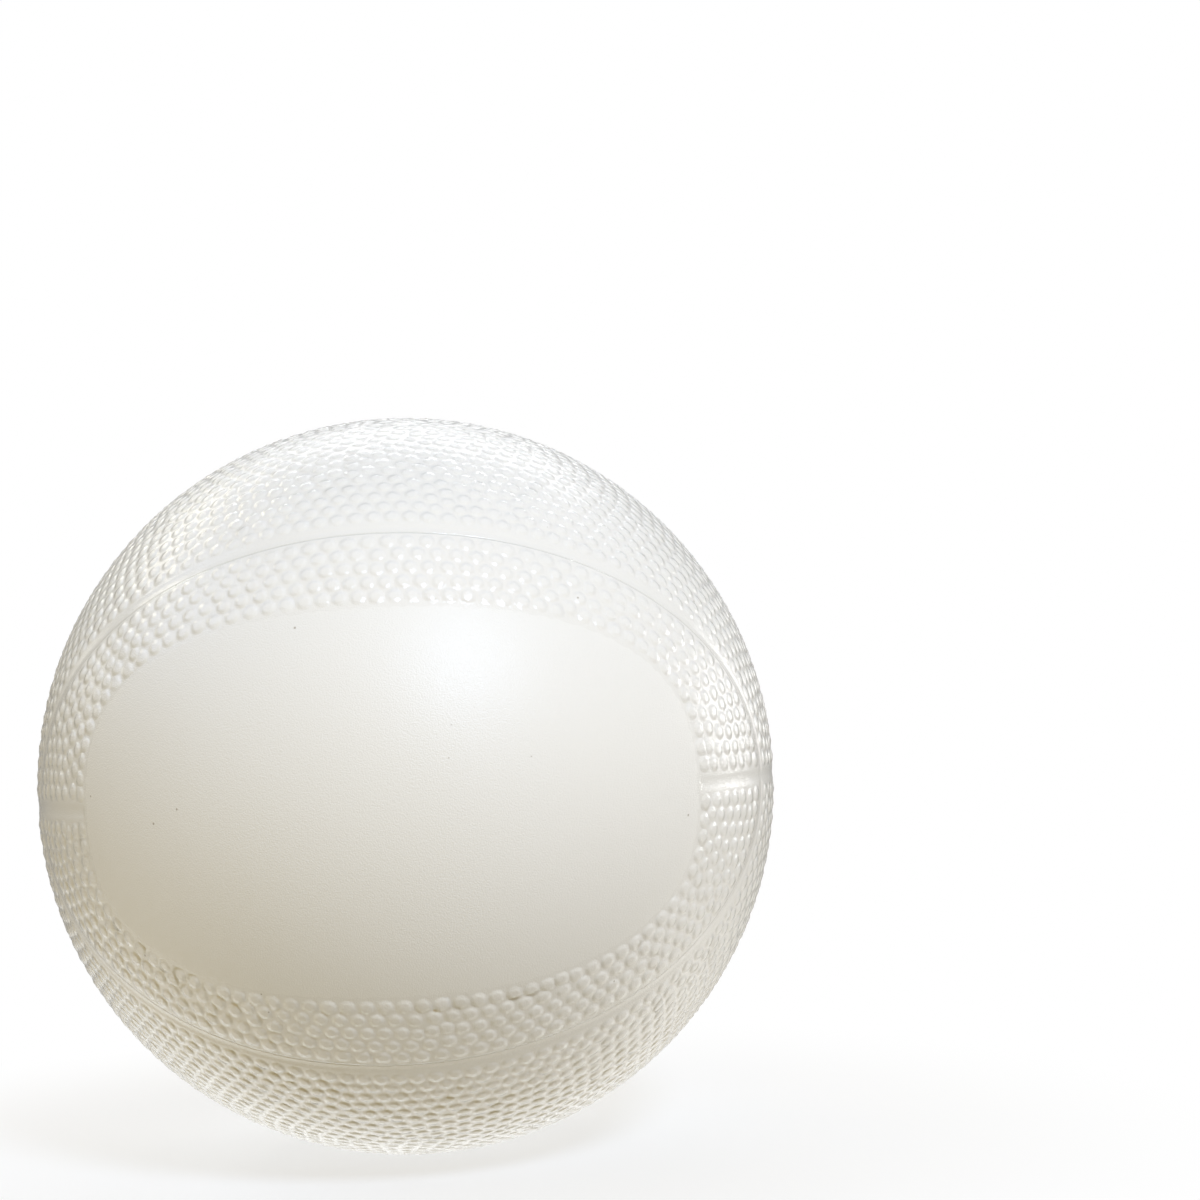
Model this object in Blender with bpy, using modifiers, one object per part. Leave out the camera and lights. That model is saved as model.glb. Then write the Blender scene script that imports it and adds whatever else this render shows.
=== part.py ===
"""Mini basketball, a rotationally moulded vinyl ball with a press-in needle valve.

Metres, +Z up, origin at the ball's centre. The smooth imprint panel faces -Y and the valve
faces +Y. The turned pieces are drawn about their own Z axis and share the valve's axis empty,
which lays that axis along +Y.
"""

import math

import bmesh
import bpy
from mathutils import Vector

# Ball wall, measured over the tops of the pebbled grain
BALL_RADIUS = 0.0635
WALL = 0.0022
PEBBLE_HEIGHT = 0.0003

# Seam channels: the round ones are great circles, the long ones ovals about the Y axis
SEAM_DEPTH = 0.0008
ROUND_SEAM_WIDTH = 0.0036
OVAL_SEAM_WIDTH = 0.0030
OVAL_HALF_ANGLE_ACROSS = math.radians(70.0)
OVAL_HALF_ANGLE_UP = math.radians(40.8)
OVAL_EXPONENT = 2.0
SEAM_END_TAPER = 0.006
SEAM_END_RISE = 0.0012

# Smooth imprint panel, half sizes measured along the ball's surface from the panel's middle
PANEL_HALF_ACROSS = 0.0551
PANEL_HALF_UP = 0.0311
PANEL_EXPONENT = 2.7

# Valve recess in the shell
VALVE_FACE_DEPTH = 0.0016
RECESS_FLARE = 0.0004
RECESS_LIP = 0.0008
VALVE_BARE_RADIUS = 0.0062

# Valve boss that hangs inside the shell
BOSS_WALL = 0.0016
BOSS_ROOT_FILLET = 0.0015
BOSS_END_ROUND = 0.0005

# Valve sleeve
FIT_GAP = 0.0003
SLEEVE_WALL = 0.00075
SLEEVE_LENGTH = 0.0125
SLEEVE_PROUD = 0.0010
SLEEVE_EDGE = 0.0002
SLEEVE_LIP = 0.0012
COLLAR_DEPTH = 0.0045
COLLAR_THICKNESS = 0.0016
COLLAR_HEIGHT = 0.0008

# Valve plug
PLUG_RADIUS = 0.0024
PLUG_SET_BACK = 0.0002
PLUG_EDGE = 0.0004
PLUG_NECK_RADIUS = 0.0017
PLUG_BILL_REACH = 0.0030
BILL_THICKNESS = 0.0011
NEEDLE_RADIUS = 0.00108
NEEDLE_LEAD_IN = 0.0003
SLIT_WIDTH = 0.0003
SLIT_SPAN = 0.0018

# Fineness of the faceted solids
SHELL_STEPS = 46
OUTER_RINGS = 25
INNER_RINGS = 12
VALVE_STEPS = 36
SEAM_POINTS = 56
SEAM_SIDES = 12
PANEL_POINTS = 56
ROUND_POINTS = 4
SHARP_ANGLE = math.radians(32.0)

# Heights of the valve along its own axis, from the ball's centre
SLEEVE_TOP = BALL_RADIUS - VALVE_FACE_DEPTH
SLEEVE_END = SLEEVE_TOP - SLEEVE_LENGTH
BOSS_END = SLEEVE_END + SLEEVE_PROUD
COLLAR_TOP = SLEEVE_TOP - COLLAR_DEPTH
COLLAR_END = COLLAR_TOP - COLLAR_THICKNESS
PLUG_TOP = SLEEVE_TOP - PLUG_SET_BACK
PLUG_SHOULDER = SLEEVE_END + SLEEVE_LIP + FIT_GAP
PLUG_END = SLEEVE_END - PLUG_BILL_REACH

# Radii of the pieces that fit in each other
SLEEVE_BORE = PLUG_RADIUS + FIT_GAP
SLEEVE_RADIUS = SLEEVE_BORE + SLEEVE_WALL
COLLAR_RADIUS = SLEEVE_RADIUS + COLLAR_HEIGHT
LIP_RADIUS = PLUG_NECK_RADIUS + FIT_GAP
SHELL_BORE = SLEEVE_RADIUS + FIT_GAP
GROOVE_RADIUS = COLLAR_RADIUS + FIT_GAP
BOSS_RADIUS = GROOVE_RADIUS + BOSS_WALL

WHITE_VINYL = (0.86, 0.85, 0.80)
AMBER_VINYL = (0.78, 0.52, 0.12)
CREAM_RUBBER = (0.90, 0.80, 0.62)


def clear_scene():
    for obj in list(bpy.data.objects):
        bpy.data.objects.remove(obj, do_unlink=True)


def new_collection(name, parent):
    collection = bpy.data.collections.new(name)
    parent.children.link(collection)
    return collection


def new_material(name, colour, roughness):
    material = bpy.data.materials.new(name)
    material.use_nodes = True
    shader = material.node_tree.nodes["Principled BSDF"]
    shader.inputs["Base Color"].default_value = (*colour, 1.0)
    shader.inputs["Roughness"].default_value = roughness
    shader.inputs["Metallic"].default_value = 0.0
    return material


def arc(centre_r, centre_z, radius, start, end, count):
    """Points on an arc in the profile plane, angles turned from +Z towards +R."""
    points = []
    for i in range(count + 1):
        angle = start + (end - start) * i / count
        points.append((centre_r + radius * math.sin(angle), centre_z + radius * math.cos(angle)))
    return points


def turned(name, profile, steps, collection, ring=False):
    """Revolve a profile of (r, z) points about Z; a ring's profile closes on itself."""
    mesh = bpy.data.meshes.new(name)
    verts = [(r, 0.0, z) for r, z in profile]
    edges = [(i, i + 1) for i in range(len(verts) - 1)]
    if ring:
        edges.append((len(verts) - 1, 0))
    mesh.from_pydata(verts, edges, [])
    obj = bpy.data.objects.new(name, mesh)
    collection.objects.link(obj)
    screw = obj.modifiers.new("Turn", "SCREW")
    screw.axis = "Z"
    screw.angle = 2 * math.pi
    screw.steps = steps
    screw.render_steps = steps
    screw.use_merge_vertices = True
    screw.merge_threshold = 0.00001
    return obj


def cut(target, cutter):
    boolean = target.modifiers.new("Cut " + cutter.name, "BOOLEAN")
    boolean.operation = "DIFFERENCE"
    boolean.solver = "EXACT"
    boolean.object = cutter


def cut_all(target, cutters):
    """Take every cutter of a collection away in one exact step."""
    boolean = target.modifiers.new("Cut " + cutters.name, "BOOLEAN")
    boolean.operation = "DIFFERENCE"
    boolean.solver = "EXACT"
    boolean.operand_type = "COLLECTION"
    boolean.collection = cutters
    weld = target.modifiers.new("Weld slivers", "WELD")
    weld.merge_threshold = 0.00001


def as_cutter(obj, collection):
    for old in list(obj.users_collection):
        old.objects.unlink(obj)
    collection.objects.link(obj)
    obj.hide_render = True
    obj.display_type = "WIRE"
    return obj


def mesh_from_curve(curve_object, collection):
    """Turn a bevelled or filled curve into a closed mesh with welded caps."""
    bpy.context.view_layer.update()
    evaluated = curve_object.evaluated_get(bpy.context.evaluated_depsgraph_get())
    mesh = bpy.data.meshes.new_from_object(evaluated)
    bm = bmesh.new()
    bm.from_mesh(mesh)
    bmesh.ops.remove_doubles(bm, verts=bm.verts, dist=0.000001)
    bmesh.ops.recalc_face_normals(bm, faces=bm.faces)
    bm.to_mesh(mesh)
    bm.free()
    name = curve_object.name
    matrix = curve_object.matrix_world.copy()
    bpy.data.objects.remove(curve_object, do_unlink=True)
    obj = bpy.data.objects.new(name, mesh)
    obj.matrix_world = matrix
    collection.objects.link(obj)
    return as_cutter(obj, collection)


def superellipse(angle, half_across, half_up, exponent):
    """Reach of a rounded outline in the direction of an angle around its middle."""
    across = abs(math.cos(angle) / half_across) ** exponent
    up = abs(math.sin(angle) / half_up) ** exponent
    return (across + up) ** (-1 / exponent)


def seam_tube(width):
    """Tube radius, and distance of its axis from the ball's centre, for a channel's width."""
    tube = ((width / 2) ** 2 + SEAM_DEPTH ** 2) / (2 * SEAM_DEPTH)
    return tube, BALL_RADIUS - SEAM_DEPTH + tube


def seam_cutter(name, directions, width, cyclic, collection):
    """A tube along unit directions from the ball's centre, each with its rise over full depth."""
    tube, reach = seam_tube(width)
    curve = bpy.data.curves.new(name, "CURVE")
    curve.dimensions = "3D"
    curve.bevel_depth = tube
    curve.bevel_resolution = SEAM_SIDES // 2 - 2
    curve.use_fill_caps = True
    spline = curve.splines.new("POLY")
    spline.points.add(len(directions) - 1)
    spline.use_cyclic_u = cyclic
    for point, (direction, rise) in zip(spline.points, directions):
        point.co = (*(direction * (reach + rise)), 1.0)
    obj = bpy.data.objects.new(name, curve)
    collection.objects.link(obj)
    mesh_from_curve(obj, collection)


def oval_directions(side):
    """One closed seam about +Y (side 1) or -Y (side -1)."""
    directions = []
    for i in range(SEAM_POINTS):
        turn = 2 * math.pi * i / SEAM_POINTS
        polar = superellipse(turn, OVAL_HALF_ANGLE_ACROSS, OVAL_HALF_ANGLE_UP, OVAL_EXPONENT)
        across = math.sin(polar) * math.cos(turn)
        up = math.sin(polar) * math.sin(turn)
        directions.append((Vector((across, side * math.cos(polar), up)), 0.0))
    return directions


def level_directions(side):
    """Half of the level seam, from beside the valve round to the imprint panel."""
    start = VALVE_BARE_RADIUS / BALL_RADIUS
    end = math.pi - PANEL_HALF_ACROSS / BALL_RADIUS
    taper = SEAM_END_TAPER / BALL_RADIUS
    directions = []
    for i in range(SEAM_POINTS + 1):
        angle = start + (end - start) * i / SEAM_POINTS
        rise = SEAM_END_RISE * max(0.0, 1 - (angle - start) / taper)
        directions.append((Vector((side * math.sin(angle), math.cos(angle), 0.0)), rise))
    return directions


def make_seam_cutters(collection):
    tube, reach = seam_tube(ROUND_SEAM_WIDTH)
    bpy.ops.mesh.primitive_torus_add(
        major_radius=reach,
        minor_radius=tube,
        major_segments=SEAM_POINTS + SEAM_POINTS // 8,
        minor_segments=SEAM_SIDES,
        rotation=(math.pi / 2, 0.0, 0.0),
    )
    upright = bpy.context.object
    upright.name = "upright_seam_cutter"
    as_cutter(upright, collection)
    for word, side in (("valve_side", 1), ("panel_side", -1)):
        seam_cutter(word + "_oval_cutter", oval_directions(side), OVAL_SEAM_WIDTH, True, collection)
    for word, side in (("right", 1), ("left", -1)):
        seam_cutter(word + "_level_cutter", level_directions(side), ROUND_SEAM_WIDTH, False, collection)


def mouth_radius():
    """Radius at which the recess's lip runs out into the ball's surface."""
    return SHELL_BORE + RECESS_FLARE + RECESS_LIP


def outer_wall(radius):
    """Arc from the valve recess round to the middle of the imprint panel."""
    points = arc(0.0, 0.0, radius, math.asin(mouth_radius() / BALL_RADIUS), math.pi, OUTER_RINGS)
    points[-1] = (0.0, -radius)
    return points


def make_panel_cutter(axis, collection, core_collection):
    """A prism of the panel's outline, hollowed to the ball's surface below the grain."""
    curve = bpy.data.curves.new("panel_cutter", "CURVE")
    curve.dimensions = "2D"
    curve.fill_mode = "BOTH"
    curve.extrude = BALL_RADIUS / 2
    spline = curve.splines.new("POLY")
    spline.points.add(PANEL_POINTS - 1)
    spline.use_cyclic_u = True
    for i, point in enumerate(spline.points):
        turn = 2 * math.pi * i / PANEL_POINTS
        polar = superellipse(turn, PANEL_HALF_ACROSS, PANEL_HALF_UP, PANEL_EXPONENT) / BALL_RADIUS
        reach = BALL_RADIUS * math.sin(polar)
        point.co = (reach * math.cos(turn), reach * math.sin(turn), 0.0, 1.0)
    outline = bpy.data.objects.new("panel_cutter", curve)
    outline.rotation_euler = (math.pi / 2, 0.0, 0.0)
    outline.location = (0.0, -BALL_RADIUS * 0.75, 0.0)
    collection.objects.link(outline)
    panel = mesh_from_curve(outline, collection)

    floor = outer_wall(BALL_RADIUS - PEBBLE_HEIGHT)
    core = turned("panel_floor_cutter", [(0.0, floor[0][1])] + floor, SHELL_STEPS, core_collection)
    core.parent = axis
    cut(panel, as_cutter(core, core_collection))


def shell_profile():
    """Inner wall, boss, collar groove, bore, recess and outer wall, in one line."""
    inner = BALL_RADIUS - WALL
    root = BOSS_RADIUS + BOSS_ROOT_FILLET
    root_angle = math.asin(root / inner)
    root_z = inner * math.cos(root_angle)
    points = arc(0.0, 0.0, inner, math.pi, root_angle, INNER_RINGS)
    points[0] = (0.0, -inner)

    fillet = arc(root, root_z - BOSS_ROOT_FILLET, BOSS_ROOT_FILLET, 0.0, -math.pi / 2, ROUND_POINTS)
    points += fillet[1:]
    end_r = BOSS_RADIUS - BOSS_END_ROUND
    end_z = BOSS_END + BOSS_END_ROUND
    points += arc(end_r, end_z, BOSS_END_ROUND, math.pi / 2, math.pi, ROUND_POINTS)

    points.append((SHELL_BORE, BOSS_END))
    points.append((SHELL_BORE, COLLAR_END - FIT_GAP))
    points.append((GROOVE_RADIUS, COLLAR_END - FIT_GAP))
    points.append((GROOVE_RADIUS, COLLAR_TOP + FIT_GAP))
    points.append((SHELL_BORE, COLLAR_TOP + FIT_GAP))
    points.append((SHELL_BORE, SLEEVE_TOP))

    outer = outer_wall(BALL_RADIUS)
    lip_r, lip_top = outer[0]
    points += arc(lip_r, lip_top - RECESS_LIP, RECESS_LIP, -math.pi / 2, 0.0, ROUND_POINTS)
    points += outer[1:]
    return points


def sleeve_profile():
    """Inside of the tube from its foot upwards, then down its outside past the collar."""
    edge = SLEEVE_EDGE
    return [
        (SLEEVE_RADIUS - edge, SLEEVE_END),
        (LIP_RADIUS, SLEEVE_END),
        (LIP_RADIUS, SLEEVE_END + SLEEVE_LIP),
        (SLEEVE_BORE, SLEEVE_END + SLEEVE_LIP),
        (SLEEVE_BORE, SLEEVE_TOP - edge),
        (SLEEVE_BORE + edge, SLEEVE_TOP),
        (SLEEVE_RADIUS - edge, SLEEVE_TOP),
        (SLEEVE_RADIUS, SLEEVE_TOP - edge),
        (SLEEVE_RADIUS, COLLAR_TOP),
        (COLLAR_RADIUS - edge, COLLAR_TOP),
        (COLLAR_RADIUS, COLLAR_TOP - edge),
        (COLLAR_RADIUS, COLLAR_END + edge),
        (COLLAR_RADIUS - edge, COLLAR_END),
        (SLEEVE_RADIUS, COLLAR_END),
        (SLEEVE_RADIUS, SLEEVE_END + edge),
    ]


def plug_profile():
    """Needle hole from its floor upwards, then the face, the side, the shoulder and the bill."""
    bore_floor = SLEEVE_END
    lead_r = NEEDLE_RADIUS + NEEDLE_LEAD_IN
    lead_z = PLUG_TOP - NEEDLE_LEAD_IN
    points = [(0.0, bore_floor), (NEEDLE_RADIUS, bore_floor)]
    points += arc(lead_r, lead_z, NEEDLE_LEAD_IN, -math.pi / 2, 0.0, ROUND_POINTS)
    side_r = PLUG_RADIUS - PLUG_EDGE
    points += arc(side_r, PLUG_TOP - PLUG_EDGE, PLUG_EDGE, 0.0, math.pi / 2, ROUND_POINTS)
    points.append((PLUG_RADIUS, PLUG_SHOULDER))
    points.append((PLUG_NECK_RADIUS, PLUG_SHOULDER))
    points.append((PLUG_NECK_RADIUS, PLUG_END))
    points.append((0.0, PLUG_END))
    return points


def box_cutter(name, size, location, tilt, axis, collection):
    bpy.ops.mesh.primitive_cube_add(size=1.0)
    box = bpy.context.object
    box.name = name
    for vertex in box.data.vertices:
        vertex.co = Vector(a * b for a, b in zip(vertex.co, size))
    box.parent = axis
    box.location = location
    box.rotation_euler = (tilt, 0.0, 0.0)
    return as_cutter(box, collection)


def cut_bill(plug, axis, collection):
    """Flatten the plug's foot into a bill with two sloping cheeks, and slit it."""
    rise = SLEEVE_END - PLUG_END
    tilt = math.atan2(PLUG_NECK_RADIUS - BILL_THICKNESS / 2, rise)
    block = 4 * PLUG_NECK_RADIUS
    for word, side in (("front", -1), ("rear", 1)):
        offset = BILL_THICKNESS / 2 * math.cos(tilt) + block / 2
        location = (0.0, side * offset * math.cos(tilt), PLUG_END - offset * math.sin(tilt))
        size = (block, block, 2 * rise / math.cos(tilt))
        cut(plug, box_cutter(word + "_bill_cutter", size, location, -side * tilt, axis, collection))
    slit_size = (SLIT_SPAN, SLIT_WIDTH, 2 * rise)
    slit = box_cutter("slit_cutter", slit_size, (0.0, 0.0, PLUG_END), 0.0, axis, collection)
    cut(plug, slit)


def finish_part(obj, material):
    """Keep the evaluated shape as the piece's mesh, shaded smooth between sharp edges."""
    bpy.context.view_layer.update()
    evaluated = obj.evaluated_get(bpy.context.evaluated_depsgraph_get())
    mesh = bpy.data.meshes.new_from_object(evaluated)
    obj.modifiers.clear()
    obj.data = mesh
    mesh.name = obj.name
    mesh.shade_smooth()
    mesh.set_sharp_from_angle(angle=SHARP_ANGLE)
    mesh.materials.clear()
    mesh.materials.append(material)


def main():
    clear_scene()
    scene_root = bpy.context.scene.collection
    parts = new_collection("mini_basketball", scene_root)
    cutters = new_collection("cutters", scene_root)
    shell_cutters = new_collection("shell_cutters", cutters)

    axis = bpy.data.objects.new("valve_axis", None)
    axis.rotation_euler = (-math.pi / 2, 0.0, 0.0)
    parts.objects.link(axis)

    shell = turned("ball_shell", shell_profile(), SHELL_STEPS, parts)
    sleeve = turned("valve_sleeve", sleeve_profile(), VALVE_STEPS, parts, ring=True)
    plug = turned("valve_plug", plug_profile(), VALVE_STEPS, parts)
    for piece in (shell, sleeve, plug):
        piece.parent = axis

    make_panel_cutter(axis, shell_cutters, cutters)
    make_seam_cutters(shell_cutters)
    cut_all(shell, shell_cutters)
    cut_bill(plug, axis, cutters)

    finish_part(shell, new_material("white_vinyl", WHITE_VINYL, 0.28))
    finish_part(sleeve, new_material("amber_vinyl", AMBER_VINYL, 0.25))
    finish_part(plug, new_material("cream_rubber", CREAM_RUBBER, 0.45))


main()
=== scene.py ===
import itertools
import math

import bmesh
import bpy
import numpy as np
from mathutils import Matrix, Vector
from mathutils.geometry import delaunay_2d_cdt


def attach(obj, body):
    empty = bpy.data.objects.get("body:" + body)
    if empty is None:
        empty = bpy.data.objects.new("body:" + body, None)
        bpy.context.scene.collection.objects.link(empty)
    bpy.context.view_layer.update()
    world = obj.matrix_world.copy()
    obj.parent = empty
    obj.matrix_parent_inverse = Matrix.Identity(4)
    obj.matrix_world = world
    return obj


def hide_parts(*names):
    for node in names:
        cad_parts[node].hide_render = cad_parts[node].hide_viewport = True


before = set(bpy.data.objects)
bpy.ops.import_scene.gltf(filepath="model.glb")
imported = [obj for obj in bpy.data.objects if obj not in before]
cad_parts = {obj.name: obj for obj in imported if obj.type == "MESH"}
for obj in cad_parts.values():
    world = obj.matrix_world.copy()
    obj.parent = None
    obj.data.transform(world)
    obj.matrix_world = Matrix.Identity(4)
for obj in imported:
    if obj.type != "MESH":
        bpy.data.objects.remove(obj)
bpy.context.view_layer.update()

# Ball, in metres. The centre is the frame's origin, the panel faces -Y and the valve +Y.
BALL_RADIUS = 0.0635
WALL = 0.0022
PEBBLE_HEIGHT = 0.00022
BASE_RADIUS = BALL_RADIUS - PEBBLE_HEIGHT
INNER_RADIUS = BALL_RADIUS - WALL

# Seam channels and the smooth imprint panel
ROUND_SEAM_HALF = 0.00145
OVAL_SEAM_HALF = 0.00115
ROUND_SEAM_DEPTH = 0.00011
OVAL_SEAM_DEPTH = 0.00009
OVAL_WALL = 0.0013
OVAL_CREASE = 0.00088
OVAL_CREASE_HALF = 0.00024
OVAL_CREASE_DEPTH = 0.00009
# Painted shade: grey tint along the bottom of the crease
OVAL_CREASE_PAINTED_SHADE = 0.16
OVAL_ACROSS = math.radians(70.0)
OVAL_UP = math.radians(40.8)
OVAL_EXPONENT = 2.0
PANEL_ACROSS = 0.05475 / BALL_RADIUS
PANEL_UP = 0.03075 / BALL_RADIUS
PANEL_EXPONENT = 2.7
PANEL_STEP = 0.0007
SEAM_CLEAR_OF_PANEL = 1.3 * PANEL_STEP

# Pebbled grain
PEBBLE_PITCH = 0.00280
FIRST_ROW_GAP = 0.5 * PEBBLE_PITCH
SEED_GAP = 0.3 * FIRST_ROW_GAP
MIRROR_GAP = 1.8 * FIRST_ROW_GAP
PUSH_REACH = 3.0
SPREAD_STEPS = 110
SPREAD_PUSH = 1.2
SPREAD_STRIDE = 0.2
RETRIANGULATE_EVERY = 6
FOOT_SHARE = 0.80
FOOT_LEAN = math.radians(3.0)
SIDE_SHARE = 0.63
SIDE_RISE = 0.26
SIDE_LEAN = math.radians(8.0)
SIDE_CROWN = 0.6
SHOULDER = (0.32, 0.84)
SHOULDER_HEIGHT = 0.00015
ROUNDNESS = 0.6
TOP_MERGE = 0.00001
LEAST_GRAIN = 0.01
GRAIN_UNEVEN = 0.12
PEBBLE_SLANT = math.radians(3.0)
PANEL_ROW_SLANT = math.radians(5.0)
SLANT_SPREAD = 0.5
HEIGHT_SEED = 7
SLANT_SEED = 11
STAMP_CENTRE_BELOW = 0.019
STAMP_HALF = (0.017, 0.008)
STAMP_EDGE = (0.8, 0.4)
STAMP_GRAIN = 0.55

# Valve, along +Y
VALVE_BARE = 0.0080
MOUTH_RADIUS = 0.0050
LIP_ROUND = 0.0008
LIP_TURN = math.radians(72.0)
LIP_STEPS = 5
SEAM_FADE = 0.006
SEAM_STOP = 0.0052
SEAM_ROW_STOP = SEAM_STOP + 0.0006
SLEEVE_RADIUS = 0.00345
SLEEVE_BORE = 0.0027
SLEEVE_TOP = BALL_RADIUS - 0.0016
SLEEVE_END = SLEEVE_TOP - 0.0125
SLEEVE_LIP = 0.0012
SLEEVE_LIP_RADIUS = 0.0020
SLEEVE_EDGE = 0.00022
SLEEVE_BORE_ROW = 0.003
SEAT_GAP = 0.00004
WELL_FOOT = ((0.00024, 0.00002), (0.00006, -0.00012), (0.0, -0.00030))
COLLAR_RADIUS = 0.00425
COLLAR_TOP = SLEEVE_TOP - 0.0045
COLLAR_END = COLLAR_TOP - 0.0016
BOSS_RADIUS = 0.00615
BOSS_END = SLEEVE_END + 0.0010
BOSS_EDGE = 0.0005
BOSS_FOOT = (0.0015, 0.0012)
INNER_STEPS = 30
PLUG_RADIUS = 0.0024
PLUG_TOP = SLEEVE_TOP - 0.0002
PLUG_NECK = 0.0017
PLUG_SHOULDER = SLEEVE_TOP - 0.0110
PLUG_END = SLEEVE_END - 0.0030
PLUG_EDGE = 0.0005
PLUG_EDGE_STEPS = 7
NEEDLE_RADIUS = 0.00108
NEEDLE_LEAD = 0.0003
NEEDLE_ROW = 0.004
BILL_HALF = 0.00055
BILL_ROWS = 7
SLIT_HALF_SPAN = 0.0009
SLIT_HALF = 0.00015
SLIT_DEEP = 0.0026
SLIT_END_ROUND = 3.0
CORNER_STEPS = 5
SHARP_ANGLE = math.radians(32.0)

# Spacing of the points on the smooth bands
BAND_SPACING = 0.0019
PANEL_SPACING = 0.0019
BAND_NEAREST = 0.00055
CHANNEL_ROWS = (0.0, 0.48, 0.66, 0.83)
PANEL_EDGE_ROWS = (0.0004, 0.0012)
VALVE_RINGS = (0.0056, 0.0064, 0.0073)
VALVE_STEPS = 64
CORNER_MERGE = 0.00015
CHANNEL_END_SPAN = 0.92
CHANNEL_END_POINTS = 9
CHANNEL_END_ROWS = (0.0, 0.35, 0.65, 1.0)
FINE_STEPS = 2000
HEX_ROW = 0.866
PANEL_GRID_GAP = 0.4 * PANEL_SPACING

# Steps for slopes, and lengths that count as none
TURN_STEP = 0.002
BORDER_STEP = 0.0005
LEAN_STEP = 0.0004
SAME_SEED = 1e-9
SAME_POINT = 1e-7
TINY = 1e-9

# Colours
WHITE = (1.0, 1.0, 1.0, 1.0)
BLACK = (0.0, 0.0, 0.0, 1.0)
WHITE_FRESH = (0.835, 0.835, 0.82, 1.0)
# Warmer white: random tone, and also painted shade in the hollows of the grain
WHITE_WARM_AND_SHADED = (0.815, 0.81, 0.785, 1.0)
# Grey of the painted shade along the oval creases
CREASE_SHADE_GREY = (0.42, 0.39, 0.33, 1.0)
SPECK_BROWN = (0.23, 0.18, 0.12, 1.0)
AMBER_LIGHT = (0.84, 0.58, 0.16, 1.0)
# Deep amber gives random clouding and painted shade at the bore's rim; the dark amber is a painted
# shadow inside the bore
AMBER_DEEP_AND_SHADED = (0.62, 0.33, 0.05, 1.0)
AMBER_BORE_SHADOW = (0.50, 0.19, 0.03, 1.0)
CREAM_LIGHT = (0.90, 0.79, 0.60, 1.0)
CREAM_DEEP = (0.80, 0.60, 0.36, 1.0)
NEEDLE_BROWN = (0.68, 0.26, 0.07, 1.0)
FLOOR_LIGHT = (0.90, 0.90, 0.89, 1.0)
FLOOR_DEEP = (0.87, 0.87, 0.86, 1.0)

# Vinyl of the shell. Noise and speck scales are per metre, here and below.
CLOUD_SCALE = 30.0
CLOUD_WARMTH = 0.5
MOTTLE_SCALE = 420.0
MOTTLE_WARMTH = 0.12
# Painted shade: how much warmer and darker the hollows between the pebbles are
HOLLOW_PAINTED_SHADE = 0.2
WARM_EDGE = (0.15, 0.85)
SPECK_SCALE = 260.0
SPECK_EDGE = (0.03, 0.065)
SPECK_PICK = (0.68, 0.72)
SPECK_SHADE = 0.6
GLOSS_ROUGHNESS = 0.12
MATTE_ROUGHNESS = 0.28
MOTTLE_ROUGHNESS = 0.05
VINYL_IOR = 1.41

# Sleeve and plug
AMBER_CLOUD_SCALE = 900.0
AMBER_CLOUD_SHADE = 0.35
# Painted shade deepens the amber at the rim of the bore; a painted shadow darkens it inside the bore
AMBER_RIM = 0.00035
AMBER_RIM_PAINTED_SHADE = 0.75
AMBER_SHADE_EDGE = (0.05, 0.85)
AMBER_BORE = (SLEEVE_TOP - 0.004, SLEEVE_TOP - 0.0004)
AMBER_BORE_PAINTED_SHADOW = 0.8
AMBER_ROUGHNESS = (0.28, 0.15)
CREAM_CLOUD_SCALE = 700.0
CREAM_CLOUD_TINT = 0.5
CREAM_RIM = (PLUG_RADIUS * 0.86, PLUG_RADIUS)
CREAM_RIM_TINT = 0.6
CREAM_ROUGHNESS = (0.38, 0.2)
NEEDLE_EDGE = (NEEDLE_RADIUS * 0.98, NEEDLE_RADIUS * 1.15)
NEEDLE_TINT = 0.9
LIGHT_SHARE = 0.1

# Fine unevenness: scale and detail of the noise, strength and height of the bump
PEEL = (4200.0, 1.0, 0.26, 0.0002)
RIPPLE = (2600.0, 2.0, 0.15, 0.0001)
PORES = (3200.0, 3.0, 0.2, 0.0001)

# Floor
FLOOR_CLOUD_SCALE = 9.0
FLOOR_ROUGHNESS = 0.8
FLOOR_SPECULAR = 0.1
FLOOR_LIFT = 0.6
FLOOR_FADE = (0.07, 0.16)
FLOOR_HALF = 1.6

# Camera, as the front ball is seen
VIEW_YAW = 3.6
VIEW_PITCH = -2.4
VIEW_ROLL = -2.8
VIEW_DISTANCE = 6.0 * BALL_RADIUS
VIEW_LENS = 65.45
VIEW_SENSOR = 36.0
VIEW_SHIFT = (0.1621, 0.1553)

# Light from all round: the front, the pale table low at the back, and the backdrop
SURROUND_FRONT = (0.585, 0.46, 0.205, 1.0)
SURROUND_UNDER = (2.12, 2.14, 2.13, 1.0)
SURROUND_BEHIND = (0.3, 0.3, 0.3, 1.0)
FRONT_EDGE = (-0.6, 0.6)
FRONT_ABOVE = (-0.8, -0.3)
UNDER_LEFT = 0.25
UNDER_BACK = (-0.3, 0.3)
UNDER_BELOW = (0.1, 0.6)
BEHIND_EDGE = (0.0, 0.6)

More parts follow.
